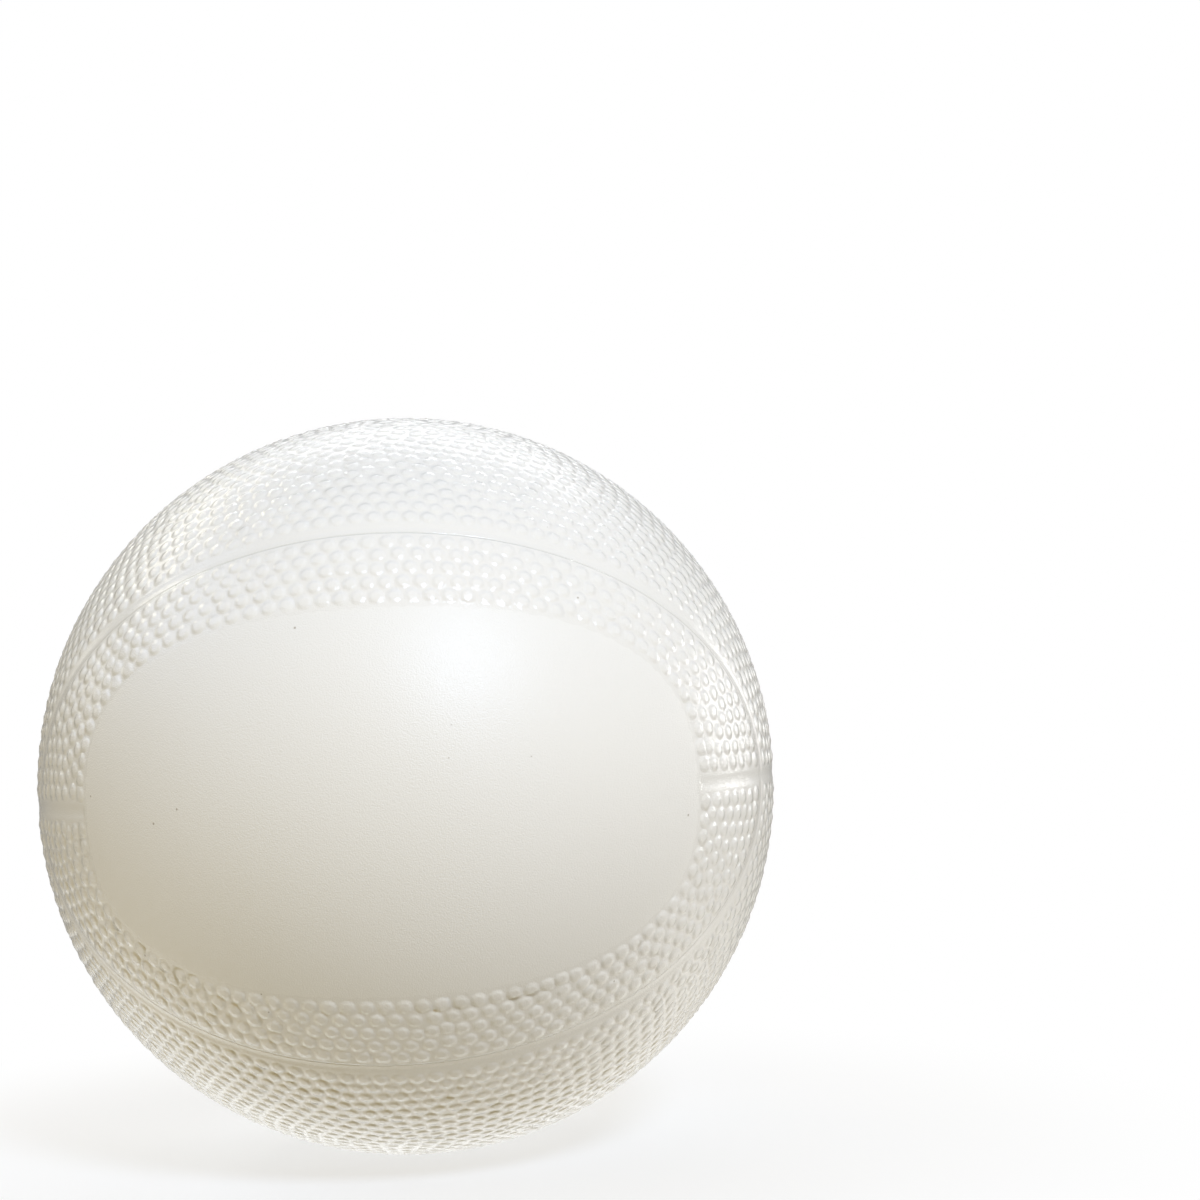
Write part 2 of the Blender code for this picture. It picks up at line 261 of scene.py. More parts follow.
# Lamps: name, direction, distance, width, height, power and colour
LAMPS = (
    ("key", (0.335, -0.75, 0.56), 0.75, 0.18, 0.18, 4.4, (0.63, 0.755, 1.0)),
    ("left_back", (-0.84, 0.45, 0.31), 0.8, 0.14, 0.20, 0.22, (1.0, 1.0, 0.95)),
    ("left_top_back", (-0.60, 0.50, 0.62), 0.8, 0.5, 0.10, 0.80, (1.0, 0.95, 0.8)),
    ("left_top", (-0.75, -0.05, 0.65), 0.8, 0.5, 0.5, 1.35, (0.53, 0.68, 1.0)),
    ("right_lamp", (0.88, 0.46, 0.14), 0.75, 0.20, 0.28, 1.0, (1.0, 1.0, 1.0)),
    ("right_front", (0.90, -0.40, 0.10), 0.8, 0.4, 0.4, 0.5, (1.0, 0.86, 0.68)),
    ("back_strip", (0.02, 0.70, 0.63), 0.9, 0.9, 0.08, 1.5, (1.0, 1.0, 1.0)),
)


def unit(vectors):
    return vectors / np.linalg.norm(vectors, axis=-1, keepdims=True)


def smooth_step(values):
    t = np.clip(values, 0.0, 1.0)
    return t * t * (3.0 - 2.0 * t)


def superellipse(turn, across, up, exponent):
    """Reach of a rounded outline at each angle around its middle."""
    share = np.abs(np.cos(turn) / across) ** exponent + np.abs(np.sin(turn) / up) ** exponent
    return share ** (-1.0 / exponent)


def outline_point(turn, side, across, up, exponent, outset=0.0):
    """Directions on an outline about +Y (side 1) or -Y (side -1), moved out along the ball."""
    polar = superellipse(turn, across, up, exponent) + outset
    flat = np.sin(polar)
    return np.stack([flat * np.cos(turn), side * np.cos(polar), flat * np.sin(turn)], axis=-1)


def outline_gap(n, side, across, up, exponent):
    """Distance outside an outline, in metres along the ball."""
    polar = np.arccos(np.clip(side * n[:, 1], -1.0, 1.0))
    turn = np.arctan2(n[:, 2], n[:, 0])
    reach = superellipse(turn, across, up, exponent)
    ahead = superellipse(turn + TURN_STEP, across, up, exponent)
    behind = superellipse(turn - TURN_STEP, across, up, exponent)
    slope = (ahead - behind) / (2.0 * TURN_STEP) / np.sin(reach)
    return (polar - reach) * BALL_RADIUS / np.sqrt(1.0 + slope * slope)


def level_offset(n):
    return np.arcsin(np.clip(n[:, 2], -1.0, 1.0)) * BALL_RADIUS


def upright_offset(n):
    return np.arcsin(np.clip(n[:, 1], -1.0, 1.0)) * BALL_RADIUS


def oval_offset(n, side):
    return outline_gap(n, side, OVAL_ACROSS, OVAL_UP, OVAL_EXPONENT)


def panel_gap(n):
    return outline_gap(n, -1, PANEL_ACROSS, PANEL_UP, PANEL_EXPONENT)


def valve_distance(n):
    return np.arccos(np.clip(n[:, 1], -1.0, 1.0)) * BALL_RADIUS


# Each border gives the distance into the pebbled side
BORDERS = (
    lambda n: np.abs(level_offset(n)) - ROUND_SEAM_HALF,
    lambda n: np.abs(upright_offset(n)) - ROUND_SEAM_HALF,
    lambda n: np.abs(oval_offset(n, 1)) - OVAL_SEAM_HALF,
    lambda n: np.abs(oval_offset(n, -1)) - OVAL_SEAM_HALF,
    panel_gap,
    lambda n: valve_distance(n) - VALVE_BARE,
)


def border_gaps(n):
    return np.stack([border(n) for border in BORDERS], axis=-1)


def tangents(n):
    """Two directions along the ball at each point."""
    pole = np.where(np.abs(n[:, 2:3]) > 0.9, [[1.0, 0.0, 0.0]], [[0.0, 0.0, 1.0]])
    first = unit(np.cross(pole, n))
    return first, np.cross(n, first)


def away_from(border, n):
    """Unit direction along the ball in which the distance to a border grows."""
    first, second = tangents(n)
    aside = BORDER_STEP * first
    ahead = BORDER_STEP * second
    rise_first = border(unit(n + aside)) - border(unit(n - aside))
    rise_second = border(unit(n + ahead)) - border(unit(n - ahead))
    return unit(first * rise_first[:, None] + second * rise_second[:, None] + 1e-12)


def push_off_borders(n, least):
    """Move points that are nearer than least to a border straight away from it."""
    for border in BORDERS:
        gap = border(n)
        near = np.flatnonzero((gap < least) & (gap > -PUSH_REACH * least))
        if len(near):
            step = (least - gap[near])[:, None] / BALL_RADIUS
            n[near] = unit(n[near] + step * away_from(border, n[near]))
    return n


def flatten(n, pole):
    """Stereographic map from a pole; circles stay circles, so Delaunay triangles stay the same."""
    axis = unit(np.asarray(pole, dtype=float))
    first, second = tangents(axis[None, :])
    height = 1.0 - n @ axis
    return np.stack([(n @ first[0]) / height, (n @ second[0]) / height], axis=-1)


def unflatten(flat, pole):
    axis = unit(np.asarray(pole, dtype=float))
    first, second = tangents(axis[None, :])
    square = (flat * flat).sum(axis=1, keepdims=True)
    along = 2.0 * flat[:, :1] * first + 2.0 * flat[:, 1:] * second
    return (along + (square - 1.0) * axis) / (square + 1.0)


def triangulate(n, pole):
    flat = [Vector(p) for p in flatten(n, pole)]
    result = delaunay_2d_cdt(flat, [], [], 0, SAME_SEED, True)
    origin = np.array([ids[0] if ids else -1 for ids in result[3]])
    triangles = origin[np.array([f for f in result[2] if len(f) == 3])]
    return triangles[(triangles >= 0).all(axis=1)]


def spread_pebbles():
    """Pebble middles in even rows that follow the seams, the panel and the valve."""
    cell = PEBBLE_PITCH ** 2 * math.sqrt(3.0) / 2.0
    count = int(4.0 * math.pi * BALL_RADIUS ** 2 / cell)
    index = np.arange(count) + 0.5
    height = 1.0 - 2.0 * index / count
    turn = math.pi * (1.0 + math.sqrt(5.0)) * index
    flat = np.sqrt(1.0 - height * height)
    n = np.stack([flat * np.cos(turn), flat * np.sin(turn), height], axis=-1)
    n = n[border_gaps(n).min(axis=1) > SEED_GAP]
    reach = SPREAD_PUSH * PEBBLE_PITCH / BALL_RADIUS
    for step in range(SPREAD_STEPS):
        if step % RETRIANGULATE_EVERY == 0:
            t = triangulate(n, (0.0, 1.0, 0.0))
            edges = np.concatenate([t[:, [0, 1]], t[:, [1, 2]], t[:, [2, 0]]])
            edges = np.unique(np.sort(edges, axis=1), axis=0)
        a, b = edges[:, 0], edges[:, 1]
        apart = n[a] - n[b]
        length = np.linalg.norm(apart, axis=1)
        push = np.maximum(reach - length, 0.0) / np.maximum(length, TINY)
        force = apart * push[:, None]
        move = np.zeros_like(n)
        for axis in range(3):
            move[:, axis] += np.bincount(a, force[:, axis], len(n))
            move[:, axis] -= np.bincount(b, force[:, axis], len(n))
        n = push_off_borders(unit(n + SPREAD_STRIDE * move), FIRST_ROW_GAP)
    return n


def region_of(n):
    """Number of the moulded panel that each point lies in."""
    ring = (n[:, 1] > 0).astype(int) * 2
    inside = np.where(n[:, 1] > 0, oval_offset(n, 1) < 0, oval_offset(n, -1) < 0)
    return (n[:, 2] > 0).astype(int) * 4 + ring + inside.astype(int)


def pebble_cells(seeds):
    """One outline for each pebble: the part of the ball that is nearest to its middle."""
    corners = []
    cells = []
    regions = region_of(seeds)
    for region in np.unique(regions):
        own = seeds[regions == region]
        mirrored = []
        for border in BORDERS:
            gap = border(own)
            row = gap < MIRROR_GAP
            step = 2.0 * gap[row][:, None] / BALL_RADIUS
            mirrored.append(unit(own[row] - step * away_from(border, own[row])))
        points = np.concatenate([own] + mirrored)
        t = triangulate(points, -own.mean(axis=0))
        middle = unit(np.cross(points[t[:, 1]] - points[t[:, 0]], points[t[:, 2]] - points[t[:, 0]]))
        middle *= np.sign((middle * points[t[:, 0]]).sum(axis=1))[:, None]
        owner = t.ravel()
        corner = np.repeat(np.arange(len(t)), 3)
        keep = owner < len(own)
        owner, corner = owner[keep], corner[keep]
        first, second = tangents(own)
        offset = middle[corner] - own[owner]
        angle = np.arctan2((offset * second[owner]).sum(axis=1), (offset * first[owner]).sum(axis=1))
        order = np.lexsort((angle, owner))
        owner, corner = owner[order], corner[order]
        starts = np.flatnonzero(np.diff(owner, prepend=-1))
        base = len(corners)
        corners.extend(middle)
        for ring in np.split(corner, starts[1:]):
            cells.append([base + int(c) for c in ring])
    return np.array(corners), cells


def joined_cells(seeds):
    """Cell outlines with near corners merged: corner directions, cell rings and border loops."""
    corners, cells = pebble_cells(seeds)
    bm = bmesh.new()
    verts = [bm.verts.new(BASE_RADIUS * c) for c in corners]
    for ring in cells:
        bm.faces.new([verts[c] for c in ring])
    bmesh.ops.delete(bm, geom=[v for v in bm.verts if not v.link_faces], context="VERTS")
    bmesh.ops.remove_doubles(bm, verts=bm.verts, dist=CORNER_MERGE)
    bm.verts.index_update()
    places = unit(np.array([v.co for v in bm.verts]))
    rings = [[v.index for v in face.verts] for face in bm.faces]
    follow = {}
    for edge in bm.edges:
        if len(edge.link_loops) == 1:
            loop = edge.link_loops[0]
            follow[loop.vert.index] = loop.link_loop_next.vert.index
    bm.free()
    loops = []
    while follow:
        start, here = follow.popitem()
        loop = [start]
        while here != start:
            loop.append(here)
            here = follow.pop(here)
        loops.append(loop)
    return places, rings, loops


def channel_depth(n):
    """Depth of the seam channels below the base of the pebbles."""
    def hollow(offset):
        return 1.0 - smooth_step(np.abs(offset) / ROUND_SEAM_HALF)

    def step_down(offset):
        wall = smooth_step((offset + OVAL_SEAM_HALF) / OVAL_WALL)
        slope = (offset + OVAL_SEAM_HALF - OVAL_WALL) / (2.0 * OVAL_SEAM_HALF - OVAL_WALL)
        return wall * (1.0 - smooth_step(slope))

    level = hollow(level_offset(n))
    level = level * smooth_step(panel_gap(n) / PANEL_STEP)
    level = level * smooth_step((valve_distance(n) - SEAM_STOP) / SEAM_FADE)
    upright = hollow(upright_offset(n))
    front = step_down(oval_offset(n, -1))
    back = step_down(oval_offset(n, 1))
    return np.max([ROUND_SEAM_DEPTH * level, ROUND_SEAM_DEPTH * upright,
                   OVAL_SEAM_DEPTH * front, OVAL_SEAM_DEPTH * back], axis=0)


def channel_lean(n):
    """Direction that the surface faces on the channels and the smooth bands."""
    first, second = tangents(n)
    aside = LEAN_STEP * first
    ahead = LEAN_STEP * second
    rise_first = channel_depth(unit(n + aside)) - channel_depth(unit(n - aside))
    rise_second = channel_depth(unit(n + ahead)) - channel_depth(unit(n - ahead))
    slope = 1.0 / (2.0 * LEAN_STEP * BASE_RADIUS)
    return unit(n + slope * (first * rise_first[:, None] + second * rise_second[:, None]))


def full_turn(steps):
    return np.arange(steps) * 2.0 * math.pi / steps


def ring_about_valve(radius, steps):
    turn = full_turn(steps)
    polar = math.asin(radius / BASE_RADIUS)
    flat = math.sin(polar)
    return np.stack([flat * np.cos(turn), np.full(steps, math.cos(polar)), flat * np.sin(turn)], axis=-1)


def channel_rows():
    """Rows of points along the seam channels, closed ones with their first point again at the end."""
    rows = []
    fine = full_turn(FINE_STEPS)
    for share in CHANNEL_ROWS:
        for side in (1.0, -1.0) if share else (1.0,):
            polar = side * share * ROUND_SEAM_HALF / BALL_RADIUS
            flat, height = math.cos(polar), np.full(len(fine), math.sin(polar))
            upright = np.stack([flat * np.cos(fine), height, flat * np.sin(fine)], axis=-1)
            rows.append(even_spaced(upright, BAND_SPACING))
            level = np.stack([flat * np.sin(fine), flat * np.cos(fine), height], axis=-1)
            level = even_spaced(level, BAND_SPACING)
            clear = panel_gap(level) > SEAM_CLEAR_OF_PANEL
            clear &= valve_distance(level) > SEAM_ROW_STOP
            for half in (level[:, 0] > 0, level[:, 0] < 0):
                rows.append(level[clear & half])
            for pole in (1.0, -1.0):
                edge = outline_point(fine, pole, OVAL_ACROSS, OVAL_UP, OVAL_EXPONENT)
                out = away_from(lambda n: oval_offset(n, pole), edge)
                edge = unit(edge + side * share * OVAL_SEAM_HALF / BALL_RADIUS * out)
                rows.append(even_spaced(edge, BAND_SPACING))
    across = np.linspace(-CHANNEL_END_SPAN, CHANNEL_END_SPAN, CHANNEL_END_POINTS)
    across = across * ROUND_SEAM_HALF / BALL_RADIUS
    for side in (0.0, math.pi):
        for share in CHANNEL_END_ROWS:
            turn = side + across / math.sin(PANEL_ACROSS)
            outset = share * PANEL_STEP / BALL_RADIUS
            rows.append(outline_point(turn, -1, PANEL_ACROSS, PANEL_UP, PANEL_EXPONENT, outset))
    return rows


def smooth_points():
    """Loose points on the valve's surround and on the smooth panel."""
    groups = [ring_about_valve(radius, VALVE_STEPS) for radius in VALVE_RINGS]
    edge = outline_point(full_turn(FINE_STEPS), -1, PANEL_ACROSS, PANEL_UP, PANEL_EXPONENT)
    out = away_from(panel_gap, edge)
    for inset in PANEL_EDGE_ROWS:
        groups.append(even_spaced(unit(edge - inset / BALL_RADIUS * out), BAND_SPACING)[:-1])
    pitch = PANEL_SPACING / BALL_RADIUS
    rows = int(PANEL_UP / (pitch * HEX_ROW)) + 1
    columns = int(PANEL_ACROSS / pitch) + 1
    spots = []
    for row in range(-rows, rows + 1):
        for column in range(-columns, columns + 1):
            spots.append(((column + 0.5 * (row % 2)) * pitch, row * pitch * HEX_ROW))
    spots = np.array(spots)
    polar = np.maximum(np.hypot(spots[:, 0], spots[:, 1]), TINY)
    flat = np.sin(polar) / polar
    grid = np.stack([flat * spots[:, 0], -np.cos(polar), flat * spots[:, 1]], axis=-1)
    groups.append(grid[panel_gap(grid) < -PANEL_EDGE_ROWS[-1] - PANEL_GRID_GAP])
    return np.concatenate(groups)


def even_spaced(loop, spacing):
    """Points at an even spacing along a closed row of fine points, the first one again at the end."""
    closed = np.concatenate([loop, loop[:1]])
    run = np.concatenate([[0.0], np.cumsum(np.linalg.norm(np.diff(closed, axis=0), axis=1))])
    count = int(run[-1] * BALL_RADIUS / spacing)
    marks = np.arange(count + 1) * run[-1] / count
    return unit(np.stack([np.interp(marks, run, closed[:, axis]) for axis in range(3)], axis=-1))


def thinned(points, taken, nearest):
    """Points that keep a least distance from the taken ones and from each other."""
    size = nearest / BALL_RADIUS
    grid = {}

    def box(p):
        return tuple(int(math.floor(c / size)) for c in p)

    def near(p):
        x, y, z = box(p)
        for dx, dy, dz in itertools.product((-1, 0, 1), repeat=3):
            for q in grid.get((x + dx, y + dy, z + dz), ()):
                if (p[0] - q[0]) ** 2 + (p[1] - q[1]) ** 2 + (p[2] - q[2]) ** 2 < size * size:
                    return True
        return False

    def put(p):
        grid.setdefault(box(p), []).append(p)

    for p in taken:
        put(tuple(p))
    kept = []
    for p in points:
        p = tuple(p)
        if not near(p):
            put(p)
            kept.append(p)
    return np.array(kept)


def valve_well_profile():
    """Radius and height of the shell inside the valve mouth, from the lip to the inner wall."""
    mouth_height = math.sqrt(BASE_RADIUS ** 2 - MOUTH_RADIUS ** 2)
    seat = SLEEVE_RADIUS + SEAT_GAP
    profile = []
    for step in range(1, LIP_STEPS + 1):
        angle = step / LIP_STEPS * LIP_TURN
        profile.append((MOUTH_RADIUS - LIP_ROUND * math.sin(angle),
                        mouth_height - LIP_ROUND * (1.0 - math.cos(angle))))
    for out, up in WELL_FOOT:
        profile.append((seat + out, SLEEVE_TOP + up))
    profile.append((seat, COLLAR_TOP + SEAT_GAP))
    profile.append((COLLAR_RADIUS + SEAT_GAP, COLLAR_TOP + SEAT_GAP))
    profile.append((COLLAR_RADIUS + SEAT_GAP, COLLAR_END - SEAT_GAP))
    profile.append((seat, COLLAR_END - SEAT_GAP))
    profile.append((seat, BOSS_END))
    profile.append((BOSS_RADIUS - BOSS_EDGE, BOSS_END))
    profile.append((BOSS_RADIUS, BOSS_END + BOSS_EDGE))
    first = math.asin((BOSS_RADIUS + BOSS_FOOT[0]) / INNER_RADIUS)
    profile.append((BOSS_RADIUS, INNER_RADIUS * math.cos(first) - BOSS_FOOT[1]))
    for angle in np.linspace(first, math.pi, INNER_STEPS)[:-1]:
        profile.append((INNER_RADIUS * math.sin(angle), INNER_RADIUS * math.cos(angle)))
    return profile


def shell_base(places, rings, loops):
    """Closed wall of the ball with one flat face for each pebble, and the way each point faces."""
    pole = (0.0, 1.0, 0.0)
    edge_ids = [c for loop in loops for c in loop]
    border = places[edge_ids]
    mouth = ring_about_valve(MOUTH_RADIUS, VALVE_STEPS)
    points = [border, mouth]
    edges = []
    start = len(border) + len(mouth)
    for row in channel_rows():
        points.append(row)
        edges.extend((start + i, start + i + 1) for i in range(len(row) - 1))
        start += len(row)
    points.append(thinned(smooth_points(), np.concatenate(points), BAND_NEAREST))
    flat = flatten(np.concatenate(points), pole)
    faces = []
    start = 0
    for loop in loops:
        ids = list(range(start, start + len(loop)))
        start += len(loop)
        x, y = flat[ids, 0], flat[ids, 1]
        if (x * np.roll(y, -1) - y * np.roll(x, -1)).sum() < 0:
            ids.reverse()
        faces.append(ids)
    result = delaunay_2d_cdt([Vector(p) for p in flat], edges, faces, 0, SAME_POINT, True)
    spots = unflatten(np.array(result[0]), pole)
    facing = channel_lean(spots)
    heights = BASE_RADIUS - channel_depth(spots)
    vertices = [BASE_RADIUS * p for p in places]
    lean = list(places)
    index = []
    mouth_index = {}
    for k, ids in enumerate(result[3]):
        known = [i for i in ids if i < len(border)]
        if known:
            index.append(edge_ids[known[0]])
            continue
        for i in ids:
            if i < len(border) + len(mouth):
                mouth_index[i - len(border)] = len(vertices)
        index.append(len(vertices))
        vertices.append(heights[k] * spots[k])
        lean.append(facing[k])
    polygons = [list(ring) for ring in rings]
    for triangle, inside in zip(result[2], result[5]):
        if not inside:
            polygons.append([index[c] for c in triangle])
    previous = [mouth_index[i] for i in range(VALVE_STEPS)]
    turn = full_turn(VALVE_STEPS)
    for radius, height in valve_well_profile():
        ring = list(range(len(vertices), len(vertices) + VALVE_STEPS))
        vertices.extend(np.stack([radius * np.cos(turn), np.full(VALVE_STEPS, height),
                                  radius * np.sin(turn)], axis=-1))
        for i in range(VALVE_STEPS):
            j = (i + 1) % VALVE_STEPS
            polygons.append([previous[i], previous[j], ring[j], ring[i]])
        previous = ring
    vertices.append(np.array([0.0, -INNER_RADIUS, 0.0]))
    for i in range(VALVE_STEPS):
        polygons.append([previous[i], previous[(i + 1) % VALVE_STEPS], len(vertices) - 1])
    lean.extend([np.zeros(3)] * (len(vertices) - len(lean)))
    return vertices, polygons, np.array(lean)


class Value:
    """A shader socket that takes part in plain arithmetic."""

    def __init__(self, tree, socket):
        self.tree = tree
        self.socket = socket

    def node(self, kind, settings=None, inputs=None, output=0):
        """Add any node, set it up, feed its inputs and return one of its outputs."""
        made = self.tree.nodes.new(kind)
        for name, setting in (settings or {}).items():
            setattr(made, name, setting)
        for name, source in (inputs or {}).items():
            if isinstance(source, Value):
                self.tree.links.new(source.socket, made.inputs[name])
            else:
                made.inputs[name].default_value = source
        return Value(self.tree, made.outputs[output])

    def math(self, operation, first, second):
        return self.node("ShaderNodeMath", {"operation": operation}, {0: first, 1: second})

    def __add__(self, other):
        return self.math("ADD", self, other)

    def __radd__(self, other):
        return self.math("ADD", other, self)

    def __sub__(self, other):
        return self.math("SUBTRACT", self, other)

    def __rsub__(self, other):
        return self.math("SUBTRACT", other, self)

    def __mul__(self, other):
        return self.math("MULTIPLY", self, other)

    def __rmul__(self, other):
        return self.math("MULTIPLY", other, self)

    def __truediv__(self, other):
        return self.math("DIVIDE", self, other)

    def __pow__(self, other):
        return self.math("POWER", self, other)

    def ramp(self, low, high, start=0.0, end=1.0):
        """Smooth rise from start to end as this value goes from low to high."""
        inputs = {0: self, 1: low, 2: high, 3: start, 4: end}
        settings = {"interpolation_type": "SMOOTHSTEP", "clamp": True}
        return self.node("ShaderNodeMapRange", settings, inputs)

    def blend(self, first, second):
        """Colour that goes from first to second with this value."""
        return self.node("ShaderNodeMix", {"data_type": "RGBA"}, {0: self, 6: first, 7: second}, 2)

    def noise(self, scale, detail):
        """Noise over space, for a value that is a place."""
        return self.node("ShaderNodeTexNoise", None, {"Vector": self, "Scale": scale, "Detail": detail})

    def part(self, axis):
        """One coordinate of a place: 0, 1 or 2."""
        return self.node("ShaderNodeSeparateXYZ", None, {0: self}, axis)


def new_material(name):
    """Empty material: its finish node, and a value to start the arithmetic from."""
    material = bpy.data.materials.new(name)
    material.use_nodes = True
    tree = material.node_tree
    finish = tree.nodes["Principled BSDF"]
    coordinates = tree.nodes.new("ShaderNodeTexCoord")
    return material, finish, Value(tree, coordinates.outputs["Object"])


def feed(finish, name, value):
    finish.id_data.links.new(value.socket, finish.inputs[name])


def stored_value(place, name, output=2):
    """What the mesh stores under a name: output 2 is a number and 1 a vector."""
    return place.node("ShaderNodeAttribute", {"attribute_name": name}, None, output)


def off_axis(place):
    """Distance from the valve's axis."""
    across, upward = place.part(0), place.part(2)
    return (across * across + upward * upward) ** 0.5


def bump(strength, distance, height, under=None):
    """Surface direction with a height on it, on top of another bump if there is one."""
    inputs = {"Strength": strength, "Distance": distance, "Height": height}
    if under:
        inputs["Normal"] = under
    return height.node("ShaderNodeBump", None, inputs)


def uneven(place, scale, detail, strength, distance, under=None):
    """Surface direction with fine noise on it."""
    return bump(strength, distance, place.noise(scale, detail), under)


def pebble_shoulder(place):
    """Round shoulder of each pebble: 1 on its top and 0 in the hollow around it."""
    grain = stored_value(place, "grain")
    middle = stored_value(place, "middle", 1)
    reach = stored_value(place, "reach")
    apart = place.node("ShaderNodeVectorMath", {"operation": "DISTANCE"}, {0: place, 1: middle}, 1)
    return grain * (apart / reach).ramp(*SHOULDER, 1.0, 0.0)


def oval_crease(place):
    """Fine crease along the inner edge of the oval channels: 0 at its bottom and 1 beside it."""
    away = stored_value(place, "seam") + OVAL_CREASE
    return ((away * away) ** 0.5).ramp(0.0, OVAL_CREASE_HALF)


def speck_share(place):
    """Small specks in the vinyl: 1 on the few that are picked, else 0."""
    inputs = {"Vector": place, "Scale": SPECK_SCALE}
    apart = place.node("ShaderNodeTexVoronoi", {"feature": "F1"}, inputs)
    chance = place.node("ShaderNodeTexVoronoi", {"feature": "F1"}, inputs, 1)
    chance = place.node("ShaderNodeSeparateColor", None, {0: chance})
    return apart.ramp(*SPECK_EDGE, 1.0, 0.0) * chance.ramp(*SPECK_PICK)


def white_vinyl():
    """Glossy vinyl, with painted shade (a warmer, darker white) in the hollows of the grain and a
    painted grey shade along the oval creases, and matte on the panel.
    """
    material, finish, place = new_material("white_vinyl")
    crown = stored_value(place, "crown")
    matte = stored_value(place, "matte")
    crease = oval_crease(place)
    cloud = place.noise(CLOUD_SCALE, 2.0)
    mottle = place.noise(MOTTLE_SCALE, 2.0)
    # Painted shade: the hollows between the pebbles are blended towards the warmer, darker white
    hollow = (1.0 - crown) * (1.0 - matte)
    tone_and_shade = CLOUD_WARMTH * cloud + MOTTLE_WARMTH * mottle + HOLLOW_PAINTED_SHADE * hollow
    colour = tone_and_shade.ramp(*WARM_EDGE).blend(WHITE_FRESH, WHITE_WARM_AND_SHADED)
    colour = (SPECK_SHADE * speck_share(place)).blend(colour, SPECK_BROWN)
    # Painted shade: the bottom of each oval crease is tinted grey
    colour = (OVAL_CREASE_PAINTED_SHADE * (1.0 - crease)).blend(colour, CREASE_SHADE_GREY)
    feed(finish, "Base Color", colour)
    feed(finish, "Roughness", GLOSS_ROUGHNESS + MATTE_ROUGHNESS * matte + MOTTLE_ROUGHNESS * mottle)
    height = pebble_shoulder(place) + OVAL_CREASE_DEPTH / SHOULDER_HEIGHT * crease
    feed(finish, "Normal", uneven(place, *PEEL, bump(1.0, SHOULDER_HEIGHT, height)))
    finish.inputs["IOR"].default_value = VINYL_IOR
    return material


def amber_vinyl():
    """Clouded amber vinyl, with painted shade deepening it at the rim of the bore and a painted shadow
    darkening it inside the bore.
    """
    material, finish, place = new_material("amber_vinyl")
    cloud = place.noise(AMBER_CLOUD_SCALE, 3.0)
    # Painted shade: deeper amber at the rim of the bore
    rim = off_axis(place).ramp(SLEEVE_BORE, SLEEVE_BORE + AMBER_RIM, 1.0, 0.0)
    cloud_and_rim_shade = AMBER_RIM_PAINTED_SHADE * rim + AMBER_CLOUD_SHADE * cloud - LIGHT_SHARE
    colour = cloud_and_rim_shade.ramp(*AMBER_SHADE_EDGE).blend(AMBER_LIGHT, AMBER_DEEP_AND_SHADED)
    # Painted shadow: darker amber deeper inside the bore
    bore_shadow = place.part(1).ramp(*AMBER_BORE, 1.0, 0.0)
    feed(finish, "Base Color", (AMBER_BORE_PAINTED_SHADOW * bore_shadow).blend(colour, AMBER_BORE_SHADOW))
    feed(finish, "Roughness", AMBER_ROUGHNESS[0] + AMBER_ROUGHNESS[1] * cloud)
    feed(finish, "Normal", uneven(place, *RIPPLE))
    return material


def cream_rubber():
    """Cream rubber, deeper towards the rim and brown in the needle hole."""
    material, finish, place = new_material("cream_rubber")
    radius = off_axis(place)
    cloud = place.noise(CREAM_CLOUD_SCALE, 4.0)
    inside = radius.ramp(*NEEDLE_EDGE, 1.0, 0.0)
    rim = radius.ramp(*CREAM_RIM, 0.0, CREAM_RIM_TINT)
    tint = (CREAM_CLOUD_TINT * cloud + rim - LIGHT_SHARE).ramp(0.0, 1.0)
    colour = tint.blend(CREAM_LIGHT, CREAM_DEEP)
    feed(finish, "Base Color", (NEEDLE_TINT * inside).blend(colour, NEEDLE_BROWN))
    feed(finish, "Roughness", CREAM_ROUGHNESS[0] + CREAM_ROUGHNESS[1] * cloud)
    feed(finish, "Normal", uneven(place, *PORES))
    return material


def add_node(tree, kind, settings=None, inputs=None):
    """One Geometry Nodes node with its settings and inputs."""
    made = tree.nodes.new(kind)
    for name, setting in (settings or {}).items():
        setattr(made, name, setting)
    for name, source in (inputs or {}).items():
        if isinstance(source, bpy.types.NodeSocket):
            tree.links.new(source, made.inputs[name])
        else:
            made.inputs[name].default_value = source
    return made


